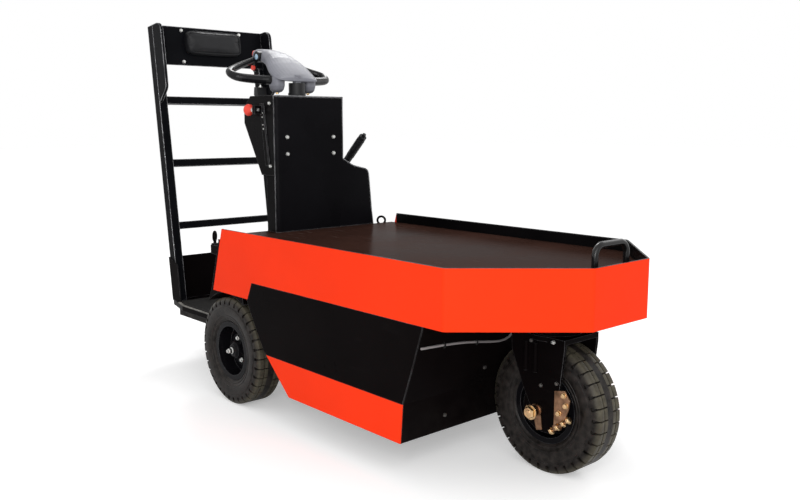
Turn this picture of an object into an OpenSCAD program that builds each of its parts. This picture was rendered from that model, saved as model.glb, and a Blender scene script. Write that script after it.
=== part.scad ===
// Stand-up three-wheel tow tractor with a load deck in front of the operator
// X runs forward from a datum near the rear axle, Y to the left, Z up from the floor, in millimetres

/* [Wheels] */
// outside diameter of each tyre
tyre_d = 430; // [410:2:450]
// section width of each tyre
tyre_w = 126; // [110:2:130]
// flange diameter of each rim
rim_d = 236; // [220:2:246]
// height of the rim flange above the bead seat
flange_h = 11; // [8:1:14]
// width of the rim between its flanges
rim_w = 92; // [80:2:96]
// place of the rear axle ahead of the datum
axle_x = 84; // [70:2:96]
// distance from the rear axle to the front axle
wheelbase = 1270; // [1210:2:1350]
// distance between the rear tyres' centre planes
track = 788; // [760:2:790]
// radius of the rear axle's stubs
stub_r = 20; // [16:1:24]
// radius of the front axle
axle_r = 12.5; // [10:0.5:15]
// radial clearance of a running bore
run_gap = 0.05; // [0.02:0.01:0.1]

/* [Load deck] */
// overall width of the body
body_w = 920; // [880:2:1000]
// height of the orange fascia band
band_h = 186; // [160:2:220]
// depth of the deck below the band's top edge
deck_drop = 45; // [25:1:70]
// nose length ahead of the front axle
nose_over = 239; // [220:1:300]
// width of the flat face of the nose
nose_w = 280; // [240:2:360]
// length of the nose chamfer along the vehicle
nose_len = 288; // [260:2:320]
// bend radius of the fascia band
band_bend = 18; // [10:1:30]
// thickness of the body sheet
sheet = 4; // [3:0.5:6]
// depth of the band's rear tab below its bottom edge
tab_h = 68; // [40:2:90]
// thickness of the deck mat
mat_t = 4; // [3:0.5:6]
// margin of the deck mat to the band
mat_gap = 8; // [5:1:20]
// thickness of the nose plate under the deck
nose_t = 6; // [4:0.5:10]

/* [Lower body] */
// height of the body's underside above the floor
clear_h = 129; // [110:1:140]
// height of the orange sill panels
sill_h = 129; // [100:1:150]
// gap from the front tyre to the front panel's foot
panel_gap = 20; // [18:1:30]
// forward rake of the front panel at the band
panel_rake = 100; // [80:2:110]
// place of the wheel arch's foot ahead of the datum
arch_foot = 510; // [490:2:530]
// place of the wheel arch's knee ahead of the datum
arch_knee = 350; // [340:2:370]
// place of the wheel arch's top ahead of the datum
arch_top = 238; // [230:2:250]
// gap from the battery block to the plates in front of it and behind it
battery_gap = 36; // [30:1:60]
// width of the battery block
battery_w = 660; // [600:5:800]
// height of the battery block
battery_h = 300; // [260:5:340]

/* [Fork] */
// gap from the front tyre's top to the fork crown
tyre_gap = 12; // [10:1:24]
// thickness of the fork crown
crown_t = 16; // [14:1:24]
// height of the steering bearing drum
bearing_h = 56; // [50:1:70]
// radius of the steering bearing drum
bearing_r = 80; // [70:1:90]
// radius of the kingpin
kingpin_r = 25; // [20:1:30]
// length of the kingpin above the nose plate's underside
kingpin_l = 86; // [70:1:100]
// thickness of each fork leg
leg_t = 10; // [8:1:14]
// gap from the front tyre's side to a fork leg
leg_gap = 14; // [12:1:20]
// running gap between the turning fork and the nose plate
steer_gap = 7; // [6:1:12]

/* [Platform] */
// height of the platform floor below the band's bottom edge
floor_drop = 235; // [220:1:255]
// height of the platform's edge
lip_h = 22; // [18:1:36]
// width of the platform
floor_w = 680; // [650:2:720]
// rear end of the platform behind the datum
floor_rear = 690; // [670:2:720]
// gap from the rear tyres to the walls inside them
wheel_gap = 16; // [12:1:30]
// thickness of the platform's mat
floor_mat = 6; // [4:0.5:8]

/* [Backrest] */
// lean of the backrest
lean = 7.3; // [4:0.1:10]
// depth of a post
post_x = 48; // [40:1:60]
// width of a post
post_y = 40; // [30:1:46]
// width over the posts
back_w = 600; // [560:2:620]
// length of the posts above the platform
post_l = 1292; // [1250:2:1350]
// side of a square rung
rung_s = 35; // [25:1:40]
// heights of the rungs along the posts
rung_z = [351, 648, 945]; // [300:1:1000]
// height of the upper panel
panel_h = 182; // [160:2:220]
// thickness of the panel's pad
pad_t = 44; // [30:1:55]
// height of the kick panel
kick_h = 206; // [180:2:240]
// reach of the side wings in front of the posts
wing_x = 80; // [60:2:100]
// length of the side wings along the posts
wing_l = 362; // [330:2:420]
// thickness of the side wings
wing_t = 14; // [10:1:18]

/* [Console] */
// width of the console
console_w = 348; // [320:2:380]
// height of the console above the deck
console_h = 571; // [540:1:600]
// place of the console's front plate ahead of the datum
console_x = 30; // [20:1:40]
// depth of the pedestal
pedestal_x = 106; // [90:1:110]
// height of the pedestal
pedestal_h = 240; // [200:1:260]
// bend radius of the console's right front edge
console_bend = 18; // [10:1:24]
// place of the steering column behind the datum
column_x = 66; // [56:1:76]
// radius of the column's boot
boot_r = 38; // [34:1:44]
// height of the column's boot
boot_h = 56; // [46:1:60]
// radius of the steering stem
stem_r = 18; // [14:1:22]

/* [Steering head] */
// width over the grip loops
head_w = 520; // [480:2:540]
// radius of a grip loop's tube at its front
grip_r = 20; // [16:0.5:22]
// length of the hood behind the column
head_l = 272; // [260:2:290]
// rise of the hood from its front edge to its ridge
head_rise = 152; // [140:2:170]
// running gap between the column's boot and the hood
head_gap = 7; // [6:1:12]

/* [Hidden] */
$fn = 48;
e = 0.01;
tyre_r = tyre_d / 2;
bead_r = rim_d / 2 - flange_h;
z_crown = tyre_d + tyre_gap;
z_drum = z_crown + crown_t;
z_nose = z_drum + bearing_h + steer_gap;
z_band = z_nose - 2;
z_top = z_band + band_h;
z_deck = z_top - deck_drop;
z_sill = clear_h + sill_h;
z_floor = z_band - floor_drop;
x_fork = axle_x + wheelbase;
x_nose = x_fork + nose_over;
x_bend = x_nose - nose_len;
half = body_w / 2;
x_panel = x_fork - tyre_r - panel_gap;
wheel_in = track / 2 - tyre_w / 2;
neck = wheel_in - wheel_gap;
leg_y = tyre_w / 2 + leg_gap;
rail_y = neck - 65;
z_console = z_deck + console_h;
x_boot = -column_x;
z_boot = z_console + boot_h;
z_hood = z_boot + head_gap;
foot_x = -floor_rear + 7;
bulk_knee = [axle_x - tyre_r - 14, z_band - 63];
x_wall = bulk_knee[0] + sheet;

function unit(v) = v / norm(v);
function side(a, b) = let(d = unit(b - a)) [-d[1], d[0]];
function miter(p, i, t) = i == 0 ? p[0] + side(p[0], p[1]) * t
    : i == len(p) - 1 ? p[i] + side(p[i - 1], p[i]) * t
    : let(n = side(p[i - 1], p[i]), m = unit(n + side(p[i], p[i + 1]))) p[i] + m * t / (m * n);
function strip(p, t) = concat(p, [for (i = [len(p) - 1:-1:0]) miter(p, i, t)]);

// the tangent points of a convex outline's corner arcs, each corner with its own radius
function trimmed(p, r) = let(n = len(p)) [for (i = [0:n - 1]) let(u = unit(p[(i + n - 1) % n] - p[i]),
    v = unit(p[(i + 1) % n] - p[i]), q = is_list(r) ? r[i] : r, c = q / tan(acos(u * v) / 2))
    each q > 0 ? [p[i] + u * c, p[i] + v * c] : [p[i]]];
module rounded(p, r) {
    n = len(p);
    polygon(trimmed(p, r));
    for (i = [0:n - 1]) {
        u = unit(p[(i + n - 1) % n] - p[i]);
        v = unit(p[(i + 1) % n] - p[i]);
        q = is_list(r) ? r[i] : r;
        if (q > 0) translate(p[i] + unit(u + v) * q / sin(acos(u * v) / 2)) circle(q);
    }
}

module xz(y, t) translate([0, y + t, 0]) rotate([90, 0, 0]) linear_extrude(t) children();
module yz(x, t) translate([x, 0, 0]) rotate([90, 0, 90]) linear_extrude(t) children();
module both() { children(); mirror([0, 1, 0]) children(); }
module spin(y) translate([0, y, 0]) rotate([-90, 0, 0]) rotate_extrude($fn = 96) children();
module rod(a, b, r) {
    d = b - a;
    translate(a) rotate([0, acos(d[2] / norm(d)), atan2(d[1], d[0])]) cylinder(r = r, h = norm(d));
}

// plan outline of the fascia band, set in by t, with its open end at the rear
function plan(t, back) = let(c = unit([nose_len, nose_w / 2 - half]), n = [-c[1], c[0]],
    k = t * (1 - n[1]) / -n[0] , f = t * (1 - n[0]) / n[1])
    [[back, half - t], [x_bend - t * tan(acos(n[1]) / 2), half - t],
     [x_nose - t, nose_w / 2 - t * tan(acos(n[0]) / 2)],
     [x_nose - t, -nose_w / 2 + t * tan(acos(n[0]) / 2)],
     [x_bend - t * tan(acos(n[1]) / 2), -half + t], [back, -half + t]];
function bends(r) = [0, r, r, r, r, 0];
x_tab = arch_top + 62;

// Load deck

module deck_fascia() color([0.95, 0.24, 0.1]) {
    translate([0, 0, z_band]) linear_extrude(band_h) difference() {
        rounded(plan(0, x_tab), bends(band_bend));
        rounded(plan(sheet, x_tab - 1), bends(band_bend - sheet));
    }
    both() xz(half - sheet, sheet) polygon([[64, z_top], [x_tab, z_top], [x_tab, z_band],
        [arch_top + 38, z_band], [arch_top + 5, z_band - tab_h], [-16, z_band - tab_h]]);
}

module deck_plate() color([0.1, 0.09, 0.09]) translate([0, 0, z_deck - sheet]) linear_extrude(sheet)
    polygon(let(x = console_x - sheet, back = console_x - pedestal_x)
        concat(trimmed(plan(sheet, x), bends(band_bend - sheet)),
            [[x, -neck], [back, -neck], [back, neck], [x, neck]]));

module deck_mat() color([0.12, 0.09, 0.08]) translate([0, 0, z_deck]) linear_extrude(mat_t) difference() {
    polygon(trimmed(plan(sheet + mat_gap, console_x + mat_gap), bends(band_bend - sheet)));
    for (s = [-1, 1]) translate([x_nose - 45, s * 80]) circle(22);
}

module deck_hoop() color([0.06, 0.06, 0.06]) translate([x_nose - 45, 0, 0]) {
    r = 10;
    bend = 34;
    top = z_top + 55;
    both() {
        translate([0, 80, z_deck]) cylinder(r = r, h = top - bend - z_deck);
        translate([0, 80, z_deck]) cylinder(r = 20, h = 5);
        translate([0, 80 - bend, top - bend]) rotate([90, 0, 90]) rotate_extrude(angle = 90)
            translate([bend, 0]) circle(r);
    }
    translate([0, 80 - bend, top]) rotate([90, 0, 0]) cylinder(r = r, h = 2 * (80 - bend));
}

module nose_plate() color([0.08, 0.08, 0.08]) translate([0, 0, z_nose]) difference() {
    union() {
        linear_extrude(nose_t) polygon(trimmed(plan(sheet, x_panel + panel_rake), bends(band_bend - sheet)));
        translate([x_fork, 0, nose_t - e])
            cylinder(r = kingpin_r + 25, h = z_deck - sheet - z_nose - nose_t);
    }
    translate([x_fork, 0, -1]) cylinder(r = kingpin_r + run_gap, h = kingpin_l + 6);
}

// Lower body

function front_edge() = [[x_panel, clear_h], [x_panel + 10, z_sill],
    [x_panel + panel_rake / 2, z_sill + (z_band - z_sill) * 0.43], [x_panel + panel_rake, z_band]];
function arch_edge() = [[arch_foot, clear_h], [arch_knee, z_sill + 14], [arch_knee - 60, z_sill + 103],
    [arch_top + 17, z_sill + 161], [arch_top, z_band - tab_h]];
function arch_x(z) = arch_knee + (arch_foot - arch_knee) * (z_sill + 14 - z) / (z_sill + 14 - clear_h);

module side_panels() color([0.05, 0.05, 0.05]) both() xz(half - sheet, sheet) {
    f = front_edge();
    a = arch_edge();
    polygon([f[1], f[2], f[3], [arch_top + 38, z_band], [arch_top + 5, z_band - tab_h],
        a[4], a[3], a[2], a[1], [arch_x(z_sill), z_sill]]);
}

module sill_panels() color([0.95, 0.24, 0.1]) both() xz(half - sheet, sheet) {
    f = front_edge();
    a = arch_edge();
    polygon([f[0], f[1], [arch_x(z_sill), z_sill], a[0]]);
}

module front_panel() color([0.06, 0.06, 0.06]) xz(sheet - half, body_w - 2 * sheet)
    polygon(strip(front_edge(), sheet));

module belly_pan() color([0.07, 0.07, 0.07]) xz(sheet - half, body_w - 2 * sheet) {
    a = arch_edge();
    top = [a[3][0], z_deck - sheet];
    polygon(strip([top, a[3], a[2], a[1], a[0], [x_panel - sheet, clear_h]], sheet));
}

// rear edge of the fascia band at a height
function band_rear(z) = 64 - 80 * (z_top - z) / (band_h + tab_h);

// wall at the operator's toes, inner walls and roofs of the wheel wells, plates behind the band's ends
module rear_bulkhead() color([0.06, 0.06, 0.06]) {
    top = console_x - pedestal_x;
    knee = bulk_knee;
    a = arch_edge();
    low = tyre_r + 70;
    z_tab = z_band - tab_h;
    z1 = z_deck - sheet;
    roof = [for (t = [60:4:128]) [axle_x + (tyre_r + 21) * cos(t), tyre_r + (tyre_r + 21) * sin(t)]];
    xz(-neck, 2 * neck)
        polygon(strip([[knee[0], z_floor], knee, [top - 4, z_deck - 50], [top, z1]], -sheet));
    both() {
        xz(neck - sheet, sheet) polygon([[knee[0] + 2, low], knee + [2, 0], [top - 2, z_deck - 50],
            [top + 2, z1], [a[3][0], z1], a[3], a[2],
            a[2] + (a[1] - a[2]) * (a[2][1] - low) / (a[2][1] - a[1][1])]);
        xz(neck - e, half - 2 * sheet - neck + 2 * e) polygon(strip(roof, -sheet));
        xz(half - 2 * sheet, sheet) polygon(concat(roof, [[band_rear(z_tab) - 22, z_tab],
            [band_rear(z1) - 18, z1], [roof[0][0], z1]]));
    }
}

// lashing rings on brackets behind the band's ends
module tie_eyes() color([0.08, 0.08, 0.08]) both() translate([-26, half - 20, z_deck + 6]) {
    rotate([90, 0, 45]) rotate_extrude() translate([18, 0]) circle(5);
    translate([0, 0, -34]) cylinder(r = 6, h = 16);
    translate([0, 0, -34]) cylinder(r = 14, h = 6);
    translate([-14, -8, -70]) cube([74, 20, 36]);
}

// Frame and drive

module frame_rails() color([0.09, 0.09, 0.09]) {
    z_rail = tyre_r + 52;
    both() translate([0, rail_y, 0]) difference() {
        union() {
            xz(0, 40) polygon([[x_wall, z_rail], [arch_x(z_rail) - 6, z_rail],
                [arch_x(z_rail + 60) - 6, z_rail + 60], [x_wall, z_rail + 60]]);
            translate([-floor_rear + 40, 0, z_floor - 68]) cube([floor_rear - 40 + x_wall, 40, 60]);
            translate([axle_x - 30, -5, tyre_r + 36]) cube([60, 50, z_rail - tyre_r - 36]);
        }
        translate([axle_x, -50, tyre_r]) rotate([-90, 0, 0]) cylinder(r = 38, h = 150);
    }
    translate([x_wall, -rail_y - 40, z_floor - 68]) cube([30, 2 * rail_y + 80, z_rail - z_floor + 128]);
    translate([-floor_rear + 40, -rail_y, z_floor - 68]) cube([40, 2 * rail_y, 60]);
    translate([-floor_rear, -80, z_floor - 68]) cube([41, 160, 66 - lip_h]);
}

module battery_block() color([0.15, 0.15, 0.16])
    translate([arch_foot + battery_gap, -battery_w / 2, clear_h + sheet])
        cube([x_panel - arch_foot - 2 * battery_gap, battery_w, battery_h]);

module rear_axle() color([0.12, 0.12, 0.12]) translate([axle_x, 0, tyre_r]) {
    y0 = wheel_in + 4;
    spin(-y0) square([38, 2 * y0]);
    both() {
        spin(y0) square([62, 10]);
        spin(y0) square([stub_r, track / 2 + 26 - y0]);
    }
    translate([0, 70, 0]) rotate([-90, 0, 0]) translate([0, 0, -60]) cylinder(r = 95, h = 120);
    translate([60, 70, 20]) rotate([0, 90, 0]) cylinder(r = 60, h = 50);
}

module drive_motor() color([0.2, 0.2, 0.21]) translate([axle_x + 110, 70, tyre_r + 20])
    rotate([0, 90, 0]) {
        cylinder(r = 75, h = 80);
        translate([0, 0, 80]) cylinder(r = 66, h = 12);
    }

// Platform and backrest

function floor_plan(t) = let(x1 = bulk_knee[0] - t, w = floor_w / 2 - t, b = -floor_rear + t)
    [[x1, w], [b + 165, w], [b, back_w / 2 - t], [b, t - back_w / 2], [b + 165, -w], [x1, -w]];

module platform() color([0.1, 0.1, 0.1]) difference() {
    translate([0, 0, z_floor - lip_h]) linear_extrude(lip_h) polygon(floor_plan(0));
    translate([0, 0, z_floor - lip_h - 1]) linear_extrude(lip_h + 1 - 8) polygon(floor_plan(sheet));
    both() translate([-floor_rear + 40, rail_y, z_floor - lip_h - 1])
        cube([floor_rear - 40, 40, lip_h + 1 - 8]);
}

module platform_mat() color([0.13, 0.13, 0.13]) translate([0, 0, z_floor]) linear_extrude(floor_mat)
    intersection() {
        polygon(floor_plan(14));
        translate([foot_x + post_x + 32, -500]) square([2000, 1000]);
    }

module leaning() translate([foot_x, 0, z_floor]) rotate([0, -lean, 0]) children();
module above_floor() intersection() {
    children();
    translate([-2000, -1000, z_floor]) cube([4000, 2000, 4000]);
}

module backrest_frame() color([0.06, 0.06, 0.06]) above_floor() leaning() {
    both() translate([0, back_w / 2 - post_y, -30]) cube([post_x, post_y, post_l + 30]);
    for (z = rung_z) translate([(post_x - rung_s) / 2, post_y - back_w / 2 - e, z - rung_s / 2])
        cube([rung_s, back_w - 2 * post_y + 2 * e, rung_s]);
}

module backrest_wings() color([0.06, 0.06, 0.06]) leaning() both() xz(back_w / 2 - wing_t, wing_t)
    rounded([[post_x, post_l], [post_x, post_l - wing_l], [post_x + wing_x, post_l - wing_l + 60],
        [post_x + wing_x, post_l]], [0, 0, wing_x / 2, wing_x / 2]);

module backrest_panel() color([0.07, 0.07, 0.07]) leaning()
    translate([post_x, wing_t - back_w / 2, post_l - panel_h]) cube([5, back_w - 2 * wing_t, panel_h]);

// ring of a moulding across the vehicle: half width, half height and squareness about a centre height
function oval(x, z, w, h, q) = [for (i = [0:31]) let(c = cos(11.25 * i), d = sin(11.25 * i))
    [x, sign(c) * pow(abs(c), q) * w, z + sign(d) * pow(abs(d), q) * h]];

// cushion tapering from its base on the panel to its face
module backrest_pad() color([0.05, 0.05, 0.05]) leaning() {
    x = post_x + 5;
    z = post_l - panel_h * 0.4;
    h = panel_h / 3;
    loft([oval(x + pad_t, z, 138, h - 7, 0.2), oval(x + pad_t - 5, z, 142, h - 4, 0.2),
        oval(x + pad_t * 0.5, z, 147, h - 1, 0.2), oval(x, z, 150, h, 0.2)]);
}

module kick_panel() color([0.08, 0.08, 0.08]) above_floor() leaning() {
    translate([-5, -back_w / 2 - 5, -30]) cube([5, back_w + 10, kick_h + 30]);
    both() xz(back_w / 2, 5)
        polygon([[-5, -30], [post_x + 24, -30], [post_x + 24, kick_h - 40], [-5, kick_h]]);
}

module tow_hitch() color([0.07, 0.07, 0.07]) translate([-floor_rear - 12, 0, z_floor - 46]) {
    translate([0, -60, -44]) cube([12, 120, 44 + 46 - 8]);
    for (z = [-40, 0]) translate([0, 0, z]) difference() {
        union() {
            translate([-60, 0, 0]) cylinder(r = 32, h = 12);
            translate([-60, -32, 0]) cube([60, 64, 12]);
        }
        translate([-60, 0, -1]) cylinder(r = 13, h = 14);
    }
}

// Console

// front plate with a shoulder on the left, a lip along its top and a bend down its right edge
module console_front() color([0.05, 0.05, 0.05]) {
    w = console_w / 2;
    b = console_bend;
    yz(console_x - sheet, sheet) polygon([[b - w, z_deck], [w + 172, z_deck], [w + 163, z_deck + 67],
        [w + 147, z_deck + 232], [w + 141, z_deck + 248], [w + 128, z_deck + 257], [w + 57, z_deck + 274],
        [w, z_deck + 305], [w, z_console], [b - w, z_console]]);
    translate([console_x - b, b - w, 0]) rotate([0, 0, -90]) rotate_extrude(angle = 90) {
        translate([b - sheet, z_deck]) square([sheet, console_h]);
        translate([0, z_console - sheet]) square([b - sheet / 2, sheet]);
    }
    translate([console_x - b, b - w, z_console - sheet]) cube([b - sheet / 2, console_w - b, sheet]);
}

function console_side() = let(x = console_x - console_bend) [[x, z_console], [-162, z_console],
    [-213, z_console - 45], [-214, z_console - 113], [console_x - pedestal_x - 9, z_deck + pedestal_h],
    [x, z_deck + pedestal_h]];

// stop knob's place on the right side: along the vehicle, sideways, height
knob = [-84, -console_w / 2 - 25, z_console - 59];

module console_box() color([0.05, 0.05, 0.05]) difference() {
    union() {
        xz(-console_w / 2, console_w) polygon(console_side());
        xz(-console_w / 2 - 6, 8) polygon([[-46, z_console - 292], [-22, z_console - 288],
            [-58, z_console - 34], [-82, z_console - 34]]);
        translate([knob[0], knob[1] - 15, knob[2] - 18]) cube([18, 42, 36]);
    }
    xz(sheet - console_w / 2, console_w - 2 * sheet) {
        p = console_side();
        polygon([p[0] + [1, -sheet], p[1] + [2, -sheet], p[2] + [sheet, -2], p[3] + [sheet, 2],
            p[4] + [3, sheet], p[5] + [1, sheet]]);
    }
    translate(knob - [1, 0, 0]) rotate([0, 90, 0]) cylinder(r = 7, h = 20);
}

module console_pedestal() color([0.05, 0.05, 0.05]) difference() {
    w = console_w - 2 * console_bend;
    translate([console_x - pedestal_x, -w / 2, z_deck]) cube([pedestal_x - sheet, w, pedestal_h]);
    translate([console_x - pedestal_x + sheet, sheet - w / 2, z_deck - 1])
        cube([pedestal_x, w - 2 * sheet, pedestal_h + 1 - sheet]);
}

module column_boot() color([0.04, 0.04, 0.04]) translate([x_boot, 0, z_console]) difference() {
    union() {
        cylinder(r = boot_r, h = 14);
        cylinder(r = boot_r - 3, h = boot_h);
    }
    translate([0, 0, 8]) cylinder(r = stem_r + run_gap, h = boot_h);
}

module dash_pod() color([0.04, 0.04, 0.04]) xz(-152, 46)
    polygon([[-138, z_console], [-160, z_console], [-168, z_console + 6], [-164, z_console + 38],
        [-143, z_console + 38]]);

module lever_bracket() color([0.06, 0.06, 0.06]) xz(console_w / 2 + 58, 6)
    polygon([[console_x - sheet, z_deck], [console_x - pedestal_x, z_deck], [-134, z_deck + 206],
        [-134, z_deck + 250], [-88, z_deck + 258], [console_x - sheet, z_deck + 200]]);

module parking_lever() color([0.05, 0.05, 0.05]) {
    y = console_w / 2 + 80;
    a = [-110, y, z_deck + 232];
    b = [70, y, z_deck + 399];
    translate([a[0], console_w / 2 + 64, a[2]]) rotate([-90, 0, 0]) cylinder(r = 20, h = 28);
    rod(a, a + (b - a) * 0.4, 8);
    rod(a + (b - a) * 0.36, b, 17);
    rod(a + (b - a) * 0.97, b + (b - a) * 0.06, 8);
}

module stop_knob() color([0.9, 0.22, 0.12]) translate(knob - [62, 0, 0]) rotate([0, 90, 0]) {
    cylinder(r1 = 21, r2 = 25, h = 6);
    translate([0, 0, 6]) cylinder(r = 25, h = 9);
    translate([0, 0, 15]) cylinder(r1 = 25, r2 = 9, h = 18);
    translate([0, 0, 33]) cylinder(r = 7, h = 55);
}

// Steering head

module head_stem() color([0.3, 0.3, 0.32]) translate([x_boot, 0, z_console + 9])
    cylinder(r = stem_r, h = z_hood + 25 - z_console - 9);

module loft(rings) {
    m = len(rings);
    n = len(rings[0]);
    polyhedron([for (r = rings) each r], concat(
        [[for (i = [n - 1:-1:0]) i]], [[for (i = [0:n - 1]) (m - 1) * n + i]],
        [for (j = [0:m - 2], i = [0:n - 1]) let(a = j * n + i, b = j * n + (i + 1) % n)
            each [[a, b + n, a + n], [a, b, b + n]]]));
}
// a tube through points that also carry its radius, bent smoothly between them
function bent(p, i, t) = let(a = p[max(i - 1, 0)], b = p[i], c = p[i + 1], d = p[min(i + 2, len(p) - 1)])
    b + 0.5 * t * (c - a + t * (2 * a - 5 * b + 4 * c - d + t * (3 * b - a - 3 * c + d)));
function flat3(v) = [v[0], v[1], v[2]];
module sweep(p, steps, sides) {
    q = [for (i = [0:len(p) - 2], t = [0:1 / steps:0.999]) bent(p, i, t), p[len(p) - 1]];
    n = len(q);
    loft([for (i = [0:n - 1]) let(d = unit(flat3(q[min(i + 1, n - 1)] - q[max(i - 1, 0)])),
        u = unit(cross(d, [0.2, 0, 1])), w = cross(u, d))
        [for (k = [0:sides - 1]) let(f = 360 * k / sides)
            flat3(q[i]) + q[i][3] * (u * cos(f) + w * sin(f))]]);
}

// hood stations: distance behind the column, underside and ridge above the front edge, half width,
// squareness across, squareness upwards
stations = [[-22, 0, 6, 78, 0.9, 1], [-17, -1, 16, 96, 0.9, 1], [2, -1, 34, 104, 0.9, 1],
    [30, 9, 58, 108, 0.88, 1], [60, 28, 82, 104, 0.85, 0.95], [94, 48, 107, 90, 0.8, 0.9],
    [130, 66, 127, 75, 0.75, 0.85], [170, 82, 140, 66, 0.7, 0.8], [215, 94, 149, 62, 0.65, 0.75],
    [250, 101, 152, 58, 0.6, 0.7], [266, 108, 149, 52, 0.6, 0.7], [272, 116, 144, 44, 0.6, 0.7]];
function hood_ring(s) = let(x = x_boot - s[0] * head_l / 272, k = head_rise / 152,
    m = s[1] + 0.35 * (s[2] - s[1])) [for (i = [0:31]) let(c = cos(11.25 * i), d = sin(11.25 * i))
        [x, sign(c) * pow(abs(c), s[4]) * s[3],
         z_hood + k * (m + (d > 0 ? pow(d, s[5]) * (s[2] - m) : -pow(-d, 0.6) * (m - s[1])))]];
// lobe levels on both sides of the column: height, half length, half width
levels = [[-48, 10, 8], [-44, 22, 17], [-36, 30, 23], [-20, 35, 27], [10, 36, 28], [26, 30, 22]];
function lobe_ring(s) = [for (i = [0:23]) let(c = cos(15 * i), d = sin(15 * i))
    [x_boot - 32 - sign(c) * pow(abs(c), 0.7) * s[1], 80 + sign(d) * pow(abs(d), 0.7) * s[2],
     z_hood + s[0]]];

module head_shell() color([0.42, 0.42, 0.46]) difference() {
    union() {
        loft([for (s = stations) hood_ring(s)]);
        both() loft([for (s = levels) lobe_ring(s)]);
    }
    head_handles();
    head_stem();
    head_buttons();
}

// grip loop: place behind the column, sideways, above the hood's front edge
grip = let(y = head_w / 2 - grip_r + 3.5) [[-38, 92, 4], [-62, 114, 6], [-82, 0.7 * y, 9],
    [-95, 0.88 * y, 13], [-111, 0.967 * y, 19], [-132, y, 29], [-155, 0.97 * y, 41], [-180, 0.83 * y, 55],
    [-203, 0.6 * y, 75], [-217, 90, 94], [-225, 52, 106]];
module head_handles() color([0.05, 0.05, 0.05]) both() {
    sweep([for (i = [0:len(grip) - 1]) let(g = grip[i])
        [x_boot + g[0], g[1], z_hood + g[2], grip_r * (1 - 0.035 * i)]], 3, 14);
    translate([x_boot - 199, 50, z_hood + 112]) rotate([-90, 0, 0]) cylinder(r = 24, h = 24);
    translate([x_boot - 233, 63, z_hood + 50]) cube([18, 9, 58]);
}

module head_buttons() color([0.85, 0.12, 0.1]) {
    loft([for (s = [[256, 42, 14], [267, 47, 19], [278, 46, 19], [286, 41, 16], [290, 32, 11]])
        oval(x_boot - s[0], z_hood + 130, s[1], s[2], 0.6)]);
    both() translate([x_boot - 224, 72, z_hood + 66]) rotate([-90, 0, 0]) cylinder(r = 11, h = 9);
}

// Front end

module fork() color([0.06, 0.06, 0.06]) translate([x_fork, 0, 0]) {
    difference() {
        both() xz(leg_y, leg_t) rounded([[-112, z_drum], [-109, z_crown - 48], [-60, tyre_r + 66],
            [12, tyre_r - 66], [58, tyre_r - 66], [73, tyre_r - 16], [100, z_crown - 14], [100, z_drum]],
            [0, 20, 40, 12, 12, 30, 0, 0]);
        translate([0, -300, tyre_r]) rotate([-90, 0, 0]) cylinder(r = axle_r, h = 600);
    }
    translate([-112, -leg_y - e, z_crown]) cube([212, 2 * leg_y + 2 * e, crown_t]);
    translate([0, 0, z_crown]) cylinder(r = bearing_r + 14, h = crown_t);
    translate([0, 0, z_drum]) cylinder(r = bearing_r, h = bearing_h);
    translate([0, 0, z_drum + bearing_h - 12]) cylinder(r = bearing_r + 16, h = 12);
    translate([0, 0, z_drum + bearing_h]) cylinder(r = kingpin_r, h = steer_gap + kingpin_l);
}

// axle with a nut on its left end; its right end sits in the brake lever's boss
module front_axle() color([0.06, 0.06, 0.06]) translate([x_fork, 0, tyre_r]) {
    spin(-leg_y - leg_t - 16) square([axle_r, 2 * (leg_y + leg_t + 16)]);
    both() spin(leg_y - 20) square([axle_r + 8, 20]);
    translate([0, leg_y + leg_t, 0]) rotate([-90, 0, 0]) cylinder(r = 20, h = 12, $fn = 6);
}

module brake_plate() color([0.1, 0.1, 0.1]) translate([x_fork, 0, tyre_r]) difference() {
    union() {
        spin(14 - leg_y) square([76, 4]);
        for (a = [70, 110]) rotate([0, -a, 0]) translate([50, -leg_y, 0]) rotate([-90, 0, 0])
            cylinder(r = 8, h = 15);
    }
    translate([0, -300, 0]) rotate([-90, 0, 0]) cylinder(r = axle_r + 8, h = 600);
}

// arm and boss on the axle's right end
module brake_lever() translate([x_fork, -leg_y - leg_t, tyre_r]) difference() {
    union() {
        rotate([90, 0, 0]) cylinder(r = 21, h = 8);
        rotate([90, 0, 0]) cylinder(r = 17.5, h = 33);
        xz(-5, 5) polygon([[-14, -4], [2, -64], [24, -58], [16, 4]]);
    }
    translate([0, 1, 0]) rotate([90, 0, 0]) cylinder(r = axle_r, h = 18);
}

module brake_adjuster() translate([x_fork, -leg_y - leg_t, tyre_r]) {
    xz(-5, 5) polygon([[70, 80], [108, 88], [128, 60], [124, 30], [98, -40], [70, -40]]);
    translate([88, -5, -30]) rotate([90, 0, 0]) cylinder(r = 10, h = 16);
    a = [62, -13, -53];
    d = [74, 0, 59];
    rod(a, a + d, 5);
    for (t = [0.05, 0.35, 0.65, 0.9]) rod(a + t * d, a + (t + 0.1) * d, 9);
}

module brake_linkage() color([0.72, 0.58, 0.34]) {
    brake_lever();
    brake_adjuster();
}

// brake cable held along the front panel: sideways place and height of its points
cable_yz = [[14 - half, z_band - 73], [-350, z_band - 78], [-250, z_band - 87], [-150, z_band - 103],
    [-80, z_band - 113], [-36, z_band - 105], [-16, z_band - 75], [-14, z_band - 39], [-14, z_band - 7]];
cable_r = 4;
function panel_face(z) = let(f = front_edge())
    f[2][0] + (z - f[2][1]) * (f[3][0] - f[2][0]) / (f[3][1] - f[2][1]);
module brake_cable() color([0.55, 0.55, 0.56])
    sweep([for (c = cable_yz) [panel_face(c[1]) + cable_r * 1.06 + 0.2, c[0], c[1], cable_r]], 2, 10);

// Wheels

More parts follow.
